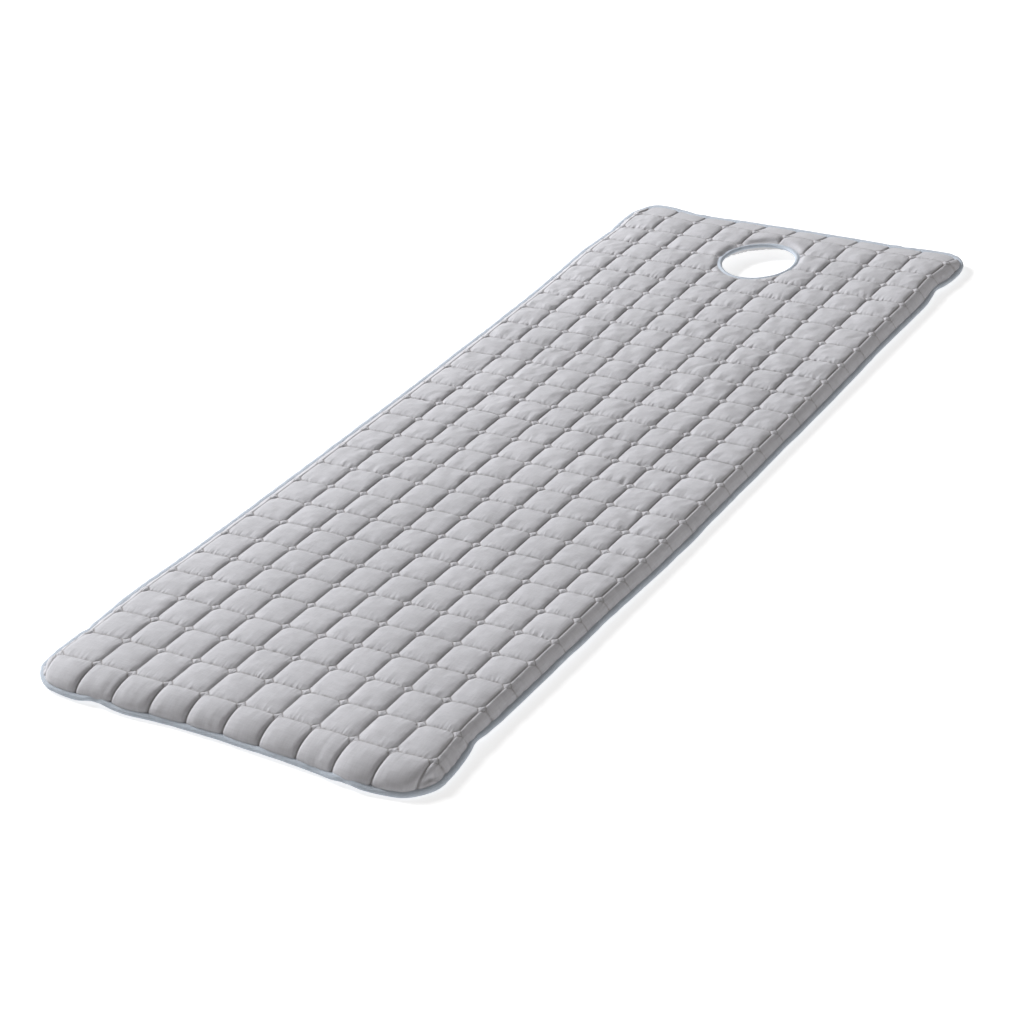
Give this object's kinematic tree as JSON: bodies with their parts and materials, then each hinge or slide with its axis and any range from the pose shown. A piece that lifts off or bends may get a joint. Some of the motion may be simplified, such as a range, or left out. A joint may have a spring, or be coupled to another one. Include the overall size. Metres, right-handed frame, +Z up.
{
  "type": "quilted massage table pad",
  "caption": "Quilted pad for a massage table, with a bound oval face opening near one end, a taped rim and elastic corner straps; both ends fold over the middle.",
  "frame": {"origin": "centre of the footprint, on the underside", "axes": "+Z up, +Y towards the head end with the face opening, +X across the pad to the right of someone looking along +Y"},
  "size_m": [0.696, 1.87, 0.0376],
  "materials": {
    "top_fabric": "quilted light grey woven, soft sheen",
    "under_fabric": "plain light grey woven",
    "upper_wadding": "white lofty polyester wadding",
    "lower_batt": "white needled polyester batt",
    "quilting_thread": "fine grey sewing thread",
    "binding_tape": "pale blue-white folded woven tape",
    "binding_thread": "pale sewing thread",
    "strap_elastic": "white ribbed flat elastic"
  },
  "bodies": {
    "middle_section": {"bottom_cover_middle": "under_fabric", "lower_batt_middle": "lower_batt", "upper_wadding_middle": "upper_wadding", "top_cover_middle": "top_fabric", "quilting_thread_middle": "quilting_thread", "edge_binding_left": "binding_tape", "binding_thread_left": "binding_thread", "edge_binding_right": "binding_tape", "binding_thread_right": "binding_thread"},
    "foot_section": {"bottom_cover_foot": "under_fabric", "lower_batt_foot": "lower_batt", "upper_wadding_foot": "upper_wadding", "top_cover_foot": "top_fabric", "quilting_thread_foot": "quilting_thread", "edge_binding_foot": "binding_tape", "binding_thread_foot": "binding_thread", "corner_strap_foot_left": "strap_elastic", "corner_strap_foot_right": "strap_elastic", "strap_bar_tacks_foot": "binding_thread"},
    "head_section": {"bottom_cover_head": "under_fabric", "lower_batt_head": "lower_batt", "upper_wadding_head": "upper_wadding", "top_cover_head": "top_fabric", "quilting_thread_head": "quilting_thread", "edge_binding_head": "binding_tape", "binding_thread_head": "binding_thread", "corner_strap_head_left": "strap_elastic", "corner_strap_head_right": "strap_elastic", "strap_bar_tacks_head": "binding_thread", "face_opening_binding": "binding_tape", "face_opening_thread": "binding_thread"}
  },
  "joints": [
    {"name": "foot_fold", "type": "hinge", "parent": "middle_section", "child": "foot_section", "pos_m": [0, -0.489, 0.0381], "axis": [-1, 0, 0], "range_deg": [0, 179]},
    {"name": "head_fold", "type": "hinge", "parent": "middle_section", "child": "head_section", "pos_m": [0, 0.486, 0.0381], "axis": [1, 0, 0], "range_deg": [0, 179]}
  ]
}
